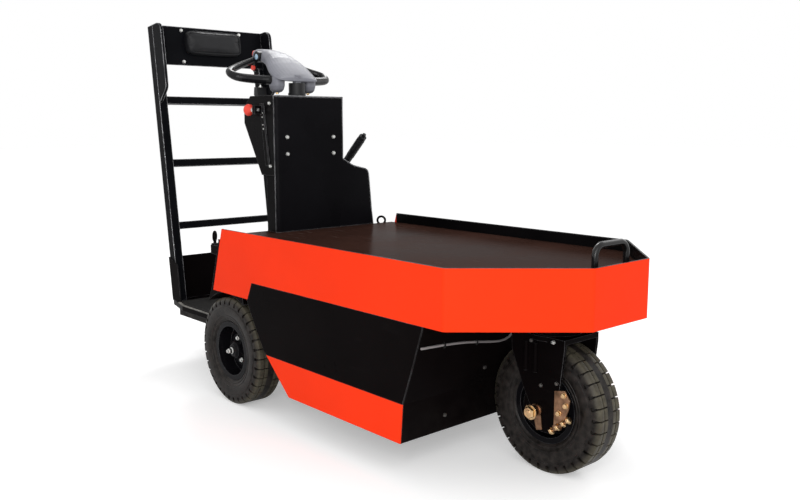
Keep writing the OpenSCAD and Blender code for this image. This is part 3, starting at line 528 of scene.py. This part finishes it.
band_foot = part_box("nose_plate")[0][2] - 0.002
slope_foot = 0.370
slope_tall = 0.149
slope_run = 0.050
clip_bend = 0.0055
clip_off = 0.004
swing = np.radians(np.linspace(-95, 95, 15))
for label, y, drop in (("outer", -0.350, 0.078), ("inner", -0.200, 0.095)):
    z = band_foot - drop
    face = panel_foot + slope_run + slope_run * (z - slope_foot) / slope_tall
    loop = np.stack((face + clip_off + clip_bend * np.cos(swing), 0 * swing + y,
                     z + clip_bend * np.sin(swing)), -1)
    clip = carried(loop, rounded_bar(0.010, 0.0016), (0, 1.0, 0))
    skin("cable_clip_" + label, clip, soft_black, "chassis", cap=True)

# Load deck: a steel plate under a smooth rubber mat, with the band standing round it as a low
# rim. The rim is black on its inner face and top edge, and a bent tube hoop stands at the nose.

# The mat's slow clouds of lighter and darker tone are painted sheen, and its long pale streaks are painted
# reflection; the mat itself gives back almost no reflection.
deck_mat = finish("deck mat", (0.034, 0.0160, 0.0120), 0.22, peel=0.06, grain=260.0, tone=0.30, cloud=2.6,
                  scuff_and_streak=0.40, shine=0.0009, edge=0.0)
coat_nodes(deck_mat, "deck_mat", "deck_plate")
gloss_black = finish("gloss black tube", (0.0045, 0.0042, 0.0045), 0.16, peel=0.03, tone=0.15, shine=0.35,
                     edge=0.0)
coat_nodes(gloss_black, "deck_hoop")
band_points = node_points("deck_fascia")
band_high = corners("deck_fascia")[1]
band_rear = band_points[band_points[:, 2] > band_high[2] - 0.002, 0].min()
nose_half = 0.140
nose_slant = 0.288
band_bend = 0.018


def rim_path(inset):
    """The rim's plan from the right rear round the nose to the left rear, set in by inset.

    Corners are cut by circular arcs of the bend's radius less the inset, sampled evenly.
    """
    half = band_high[1]
    nose = band_high[0]
    rear = band_rear + 0.001
    line = np.array([[rear, -half], [nose - nose_slant, -half], [nose, -nose_half], [nose, nose_half],
                     [nose - nose_slant, half], [rear, half]])
    path = [line[0] + [0, inset]]
    for before, here, after in zip(line[:-2], line[1:-1], line[2:]):
        a = (before - here) / np.linalg.norm(before - here)
        b = (after - here) / np.linalg.norm(after - here)
        bisect = (a + b) / np.linalg.norm(a + b)
        opening = math.acos(np.clip(a @ b, -1, 1)) / 2
        centre = here + bisect * band_bend / math.sin(opening)
        sweep = (np.linspace(-1, 1, 7) * (math.pi / 2 - opening))[:, None]
        side = np.array([bisect[1], -bisect[0]])
        path += list(centre + (band_bend - inset) * (-bisect * np.cos(sweep) + side * np.sin(sweep)))
    path.append(line[-1] - [0, inset])
    return np.array(path)


rim_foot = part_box("deck_mat")[1][2] - 0.004
rim_top = band_high[2] + 0.0006
rim_lip = rim_top - 0.0016
outer_edge = rim_path(0.0003)
band_face = rim_path(0.0044)
inner_face = rim_path(0.0056)
lining = [np.c_[plan, np.full(len(plan), z)]
          for plan, z in ((band_face, rim_foot), (inner_face, rim_foot), (inner_face, rim_top),
                          (outer_edge, rim_top), (outer_edge, rim_lip), (band_face, rim_lip))]
skin("rim_lining", np.stack(lining, 1), black_paint, "chassis", cap=True)

# Operator platform: a folded steel tray with a ribbed rubber mat and a pale scuffed rubber strip
# along its edges, whose pale grey also paints the highlight of the tray's edges; the kick panel
# stands behind the heels and the tow jaw is bolted under it.

coat_nodes(low_black, "platform", "kick_panel", "tow_hitch")
floor_mat = finish("platform mat", (0.020, 0.019, 0.018), 0.7, peel=0.6, grain=330.0, tone=0.3, cloud=9.0,
                   scuff_and_streak=0.2, shine=0.1, edge=0.0)
coat_nodes(floor_mat, "platform_mat")
# The strip's pale grey is scuffed rubber and also a painted highlight along the tray's edges.
edging = finish("pale edging with painted highlight", (0.20, 0.19, 0.175), 0.7, peel=0.3, grain=500.0, tone=0.4, cloud=30.0,
                scuff_and_streak=0.5, shine=0.1, edge=0.0)
step_low, step_high = corners("platform")
side_bend = step_low[0] + 0.165
strip_half = 0.333
strip_plan = [[step_high[0] - 0.010, strip_half], [side_bend, strip_half], [step_low[0] + 0.085, 0.3135]]
share = np.linspace(0, 1, 9)[:, None]
for label, side in (("right", -1), ("left", 1)):
    front, bend, rear = np.array([[x, side * y, step_high[2] + 0.001] for x, y in strip_plan])
    path = np.vstack((front + share * (bend - front), bend + share[1:] * (rear - bend)))
    strip = carried(path, rounded_bar(0.011, 0.005), (0, 0, 1.0))
    skin("edging_" + label, strip, edging, "chassis", cap=True)
mat_low, mat_high = corners("platform_mat")
rib_pitch = 0.024
rib_bar = rounded_bar(0.010, 0.0032, 0.6)
rib_x = np.arange(mat_low[0] + 0.020, mat_high[0] - 0.012, rib_pitch)
rib_half = np.interp(rib_x, [step_low[0], side_bend], [0.300, 0.340]) - 0.022
rib_ends = np.stack((-rib_half, rib_half), -1)
ribs = np.empty((len(rib_x), 2, len(rib_bar), 3))
ribs[..., 0] = rib_x[:, None, None] + rib_bar[:, 0]
ribs[..., 1] = rib_ends[:, :, None]
ribs[..., 2] = mat_high[2] + 0.0002 + rib_bar[:, 1]
skin("mat_ribs", ribs, floor_mat, "chassis", cap=True)

# Backrest: square-tube posts and rungs welded as a ladder, leaning back, with folded side wings
# and an upper plate; the pad is foam under black vinyl, pulled over a board and piped at its edge.

# The frame's edges go mostly to bare steel: edge wear and painted highlight lines along the tube corners.
post_paint = finish("post paint", (0.0050, 0.0052, 0.0064), 0.24, peel=0.06, grain=650.0, tone=0.2,
                    wear_and_highlight=0.9, shine=0.02, edge=0.0038)
coat_nodes(post_paint, "backrest_frame", "backrest_wings", "backrest_panel")
vinyl = finish("pad vinyl", (0.011, 0.011, 0.0125), 0.40, peel=0.5, grain=900.0, tone=0.15, cloud=25.0,
               shine=0.25, edge=0.0)
lean = math.radians(7.3)
ahead = np.array([math.cos(lean), 0, math.sin(lean)])
along = np.array([-math.sin(lean), 0, math.cos(lean)])
pad_low, pad_high = corners("backrest_pad")
pad_half = np.array([0.146, 0.0575])
pad_deep = 0.044
pad_corner = 0.28
board = (pad_low + pad_high) / 2 - ahead * pad_deep / 2


def pad_ring(size, rise, count=80):
    """A superellipse about the pad's middle, rise metres above the board.

    Its half width is the pad's times size, and its half height is drawn in by the same length.
    """
    turn = np.linspace(0, 2 * np.pi, count, endpoint=False)
    c = np.cos(turn)
    s = np.sin(turn)
    wide = np.sign(c) * np.abs(c) ** pad_corner * pad_half[0] * size
    tall = np.sign(s) * np.abs(s) ** pad_corner * (pad_half[1] - pad_half[0] * (1 - size))
    return board + wide[:, None] * [0, 1.0, 0] + tall[:, None] * along + rise * ahead


rings = [(0.62, 0.0), (0.985, 0.0), (1.0, 0.004), (0.992, 0.014), (0.978, 0.024), (0.955, 0.032),
         (0.925, 0.037), (0.88, 0.0392), (0.75, 0.0398), (0.62, 0.0400)]
pad_grid = np.stack([pad_ring(size, rise) for size, rise in rings])
pad = skin("back_pad", pad_grid, vinyl, "chassis", cap=True, crease=180.0)


def filled(piece, still, cap):
    """Swells a closed skin by cloth pressure: no point moves past cap, and still points stay put."""
    remesh = piece.modifiers.new("even skin", "REMESH")
    remesh.mode = "VOXEL"
    remesh.voxel_size = 0.005
    remesh.use_smooth_shade = True
    piece.data = bpy.data.meshes.new_from_object(piece.evaluated_get(bpy.context.evaluated_depsgraph_get()))
    piece.modifiers.clear()
    mesh = piece.data
    start = np.empty(3 * len(mesh.vertices))
    mesh.vertices.foreach_get("co", start)
    start = start.reshape(-1, 3)
    held = piece.vertex_groups.new(name="held")
    held.add(np.flatnonzero(still(start)).tolist(), 1.0, "REPLACE")
    cloth = piece.modifiers.new("filling", "CLOTH")
    cloth.settings.use_pressure = True
    cloth.settings.uniform_pressure_force = 4.0
    cloth.settings.effector_weights.gravity = 0.0
    cloth.settings.vertex_group_mass = "held"
    for step in range(1, 21):
        bpy.context.scene.frame_set(step)
    puffed = piece.evaluated_get(bpy.context.evaluated_depsgraph_get()).to_mesh()
    end = np.empty(3 * len(puffed.vertices))
    puffed.vertices.foreach_get("co", end)
    move = end.reshape(-1, 3) - start
    reach = np.linalg.norm(move, axis=1, keepdims=True)
    start += move * np.minimum(1.0, cap / np.maximum(reach, 1e-9))
    piece.modifiers.clear()
    piece.vertex_groups.clear()
    bpy.context.scene.frame_set(1)
    mesh.vertices.foreach_set("co", start.ravel())
    mesh.update()


held_deep = 0.004
swell = 0.004
filled(pad, lambda points: (points - board) @ ahead < held_deep, swell)
soft = pad.modifiers.new("soft skin", "SUBSURF")
soft.levels = 1
soft.render_levels = 1
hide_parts("backrest_pad")
piping = carried(pad_ring(0.95, 0.036), rounded_bar(0.005, 0.005, 1.0, 10), ahead, closed=True)
skin("pad_piping", piping, vinyl, "chassis", wrap_rows=True)
panel_spots = [board + [0, y, 0] + along * rise for y in (-0.157, 0.157) for rise in (-0.090, 0.058)]
fitted("panel_bolts", hex_head(0.013), panel_spots, ahead, bright_zinc, "chassis")

# Console: a folded sheet box on a narrower pedestal with a wide front plate, screwed together; the
# column's boot, the instrument pod and the parking lever are black mouldings.

# The front plate's edges are fully bare steel: edge wear and a strong painted highlight line down its bend.
console_paint = finish("console paint", (0.0045, 0.0042, 0.0052), 0.28, peel=0.08, grain=650.0, tone=0.2,
                       scuff_and_streak=0.05, wear_and_highlight=1.0, shine=0.03, edge=0.0065)
coat_nodes(console_paint, "console_front")
coat_nodes(black_paint, "console_box", "console_pedestal", "lever_bracket")
moulding = finish("black moulding", (0.010, 0.010, 0.011), 0.42, peel=0.35, grain=1200.0, tone=0.12,
                  shine=0.3, edge=0.0015)
coat_nodes(moulding, "column_boot", "dash_pod", "parking_lever")
forward = (1, 0, 0)
plate_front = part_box("console_front")[1][0]
console_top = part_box("console_front")[1][2]
front_spots = [[plate_front, y, z] for y in (-0.120, 0.120) for z in (0.989, 1.059)]
fitted("plate_bolts", hex_head(0.013), front_spots, forward, bright_zinc, "chassis")
box_side = -0.174
side_spots = [[plate_front - 0.044, box_side, 1.198], [plate_front - 0.045, box_side, 0.939]]
fitted("side_bolts", hex_head(0.012), side_spots, rightward, bright_zinc, "chassis")

# Rivets in the arm that carries the stop knob, in line down its leaning edge.
datum = steer[0] - 1.354  # where lengths along the vehicle start, behind the fork's axis
arm_edge = datum - 0.070
arm_top = 0.034
arm_tall = 0.258
arm_lean = 0.036
arm_face = box_side - 0.006
rivet = turned([(tip_radius, -0.0003, 0), (0.0035, -0.0003, 0), (0.0030, 0.0012, 0),
                (tip_radius, 0.0020, 0)], 12)
drops = np.array([0.073, 0.089, 0.121, 0.138])
rivet_x = arm_edge + (drops - arm_top) / arm_tall * arm_lean
rivet_spots = np.stack((rivet_x, 0 * drops + arm_face, console_top - drops), -1)
fitted("arm_rivets", rivet, rivet_spots, rightward, bright_zinc, "chassis")

# Gauge and key switch on the instrument pod.
pod_low, pod_high = corners("dash_pod")
pod_mid = (pod_low[1] + pod_high[1]) / 2
bezel = turned([(tip_radius, -0.0020, 0), (0.017, -0.0020, 0), (0.017, 0.0022, 0), (0.0155, 0.0032, 0),
                (0.0140, 0.0022, 0), (0.0130, 0.0010, 0), (tip_radius, 0.0008, 0)], 32)
gauge_spot = [[pod_low[0] + 0.0022, pod_mid, pod_low[2] + 0.021]]
fitted("gauge_bezel", bezel, gauge_spot, (-1.0, 0, 0.12), gloss_black, "chassis")
key_lock = turned([(tip_radius, -0.001, 0), (0.0075, -0.001, 0), (0.0075, 0.003, 0), (0.0060, 0.004, 0),
                   (0.0030, 0.004, 0), (0.0030, 0.010, 0), (tip_radius, 0.0105, 0)])
key_spot = [[pod_low[0] + 0.016, pod_mid, pod_high[2]]]
fitted("key_switch", key_lock, key_spot, upward, bright_zinc, "chassis")

# Ridged grip on the parking lever, from just under its middle to near its tip.
lever_low, lever_high = corners("parking_lever")
pivot = np.array([lever_low[0] + 0.020, (lever_low[1] + lever_high[1]) / 2, lever_low[2] + 0.020])
tip = np.array([lever_high[0] - 0.0162, pivot[1], lever_high[2] - 0.0159])
grip_long = 0.110
ridge_pitch = 0.011
grip_run = np.linspace(0.0, grip_long, 56)
grip_radius = 0.0174 + 0.0013 * np.sin(grip_run / ridge_pitch * np.pi) ** 2
grip_rows = np.stack((grip_radius, grip_run, 0 * grip_run), -1)
grip_rows = np.vstack(([[0.0150, -0.0002, 0]], grip_rows, [[0.0150, grip_long + 0.0002, 0]]))
grip_spot = [pivot + (tip - pivot) * 0.48]
fitted("lever_grip", turned(grip_rows), grip_spot, tip - pivot, moulding, "chassis")

# Stop knob: a red moulded push-pull knob that cuts the power. Its bright steel stem runs forward
# with a lock nut on it and is screwed through the boss on the console's right.

red_plastic = finish("red plastic", (0.82, 0.070, 0.045), 0.30, peel=0.05, tone=0.08, shine=0.35,
                     edge=0.0006)
knob_low, knob_high = corners("stop_knob")
knob_spot = np.array([[knob_low[0], (knob_low[1] + knob_high[1]) / 2, (knob_low[2] + knob_high[2]) / 2]])
stem_start = 0.0328
stop_cap = turned([(tip_radius, 0, 0), (0.016, 0.0002, 0), (0.0208, 0.0022, 0), (0.0240, 0.0065, 0),
                   (0.0250, 0.0110, 0), (0.0244, 0.0148, 0), (0.0210, 0.0190, 0), (0.0148, 0.0260, 0),
                   (0.0105, 0.0310, 0), (0.0090, 0.0330, 0), (tip_radius, 0.0332, 0)], 40)
stop_stem = turned([(tip_radius, 0, 0), (0.007, 0, 0), (0.007, 0.0100, 0), (0.0105, 0.0105, 1),
                    (0.0105, 0.0180, 1), (0.007, 0.0185, 0), (0.007, 0.0548, 0), (tip_radius, 0.0552, 0)])
stem_spot = knob_spot + [stem_start, 0, 0]
knob = fitted("stop_cap", stop_cap, knob_spot, forward, red_plastic, "chassis")
stem = fitted("stop_stem", stop_stem, stem_spot, forward, bright_zinc, "chassis")
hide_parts("stop_knob")
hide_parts("stop_knob")

# Steering head: a grey moulded hood with black grip loops, a red end cap at its tip, red thumb
# buttons and a pale lens on each switch drum. Brass screws close its lobes from below, and it sits
# on a column in the same grey.

hood_grey = finish("hood grey", (0.200, 0.203, 0.232), 0.36, peel=0.22, grain=1300.0, tone=0.10,
                   cloud=12.0, shine=0.28, edge=0.0025)
coat_nodes(hood_grey, "head_shell", "head_stem")
grip_black = finish("grip black", (0.006, 0.006, 0.007), 0.20, peel=0.10, grain=1200.0, tone=0.12,
                    shine=0.22, edge=0.0)
coat_nodes(grip_black, "head_handles")
coat_nodes(red_plastic, "head_buttons")
lens_glass = finish("switch lens", (0.36, 0.52, 0.66), 0.12, peel=0.02, tone=0.05, shine=0.5, edge=0.0)
drum_lens = turned([(tip_radius, -0.001, 0), (0.012, -0.001, 0), (0.012, 0.0012, 0), (0.0095, 0.0030, 0),
                    (tip_radius, 0.0042, 0)])
lobe_screw = turned([(tip_radius, -0.001, 0), (0.0065, -0.001, 0), (0.0065, 0.004, 0), (0.0050, 0.006, 0),
                     (tip_radius, 0.0064, 0)])
lens_spot = np.array([[datum - 0.265, 0.074, 1.406]])
lobe_spot = np.array([[datum - 0.098, 0.080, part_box("head_shell")[0][2]]])
for side, label in ((-1, "right"), (1, "left")):
    mirror = [1, side, 1]
    fitted("lens_" + label, drum_lens, lens_spot * mirror, (0, side, 0), lens_glass, "steering_head")
    fitted("lobe_screw_" + label, lobe_screw, lobe_spot * mirror, (0, 0, -1), gold_zinc, "steering_head")

# Studio: a pale floor that runs to a white surround, soft lamps with a tall strip for the folded
# edges, and the camera where the photograph was taken from.

far = 40
floor_glow = 0.32
floor_mesh = bpy.data.meshes.new("studio_floor")
floor_mesh.from_pydata([(-far, -far, 0), (far, -far, 0), (far, far, 0), (-far, far, 0)], [], [(0, 1, 2, 3)])
floor = bpy.data.objects.new("studio_floor", floor_mesh)
bpy.context.scene.collection.objects.link(floor)
floor_paint = bpy.data.materials.new("studio floor")
floor_paint.use_nodes = True
tree = floor_paint.node_tree
shader = tree.nodes["Principled BSDF"]
shader.inputs["Base Color"].default_value = (0.88, 0.88, 0.88, 1)
shader.inputs["Roughness"].default_value = 0.9
shader.inputs["Specular IOR Level"].default_value = 0.0
shader.inputs["Emission Color"].default_value = (1, 1, 1, 1)
seen = tree.nodes.new("ShaderNodeLightPath").outputs["Is Camera Ray"]
tree.links.new(product(tree, seen, floor_glow), shader.inputs["Emission Strength"])
floor_mesh.materials.append(floor_paint)

room_light = 0.78
room_seen = 1.0
world = bpy.data.worlds.new("studio")
world.use_nodes = True
bpy.context.scene.world = world
tree = world.node_tree
tree.nodes.clear()
ray = tree.nodes.new("ShaderNodeLightPath").outputs
shown = ray["Is Camera Ray"]
for label in ("Is Glossy Ray", "Is Transmission Ray"):
    either = tree.nodes.new("ShaderNodeMath")
    either.operation = "MAXIMUM"
    tree.links.new(shown, either.inputs[0])
    tree.links.new(ray[label], either.inputs[1])
    shown = either.outputs[0]
surround = tree.nodes.new("ShaderNodeBackground")
surround.inputs["Color"].default_value = (1, 1, 1, 1)
tree.links.new(spread(tree, shown, 0.0, 1.0, room_light, room_seen), surround.inputs["Strength"])
tree.links.new(surround.outputs[0], tree.nodes.new("ShaderNodeOutputWorld").inputs["Surface"])

for name, place, aim, size, power in (("front_lamp", (3.4, -1.6, 2.6), (0.2, 0, 0.5), (2.0, 2.0), 24.0),
                                      ("flash_strip", (2.9, -2.9, 1.5), (-0.3, 0, 0.8), (0.35, 2.2), 52.0),
                                      ("back_lamp", (-2.3, 2.0, 3.9), (0, 0, 0.6), (1.6, 1.6), 58.0),
                                      ("left_lamp", (0.8, 3.6, 2.4), (0, 0, 0.6), (2.4, 2.4), 20.0)):
    lamp = bpy.data.lights.new(name, "AREA")
    lamp.shape = "RECTANGLE"
    lamp.size, lamp.size_y = size
    lamp.energy = power
    stand = bpy.data.objects.new(name, lamp)
    stand.location = place
    away = np.array(place) - np.array(aim)
    tilt = math.atan2(math.hypot(away[0], away[1]), away[2])
    stand.rotation_euler = (tilt, 0, math.atan2(away[1], away[0]) + math.pi / 2)
    bpy.context.scene.collection.objects.link(stand)

lens = bpy.data.cameras.new("camera")
lens.lens = 37.965
lens.sensor_width = 36.0
camera = bpy.data.objects.new("camera", lens)
camera.location = (datum + 2.98774, -2.12100, 1.10460)
camera.rotation_euler = (math.radians(81.648), 0, math.radians(48.365))
bpy.context.scene.collection.objects.link(camera)
bpy.context.scene.camera = camera
bpy.context.scene.view_settings.view_transform = "Standard"

bpy.context.view_layer.update()
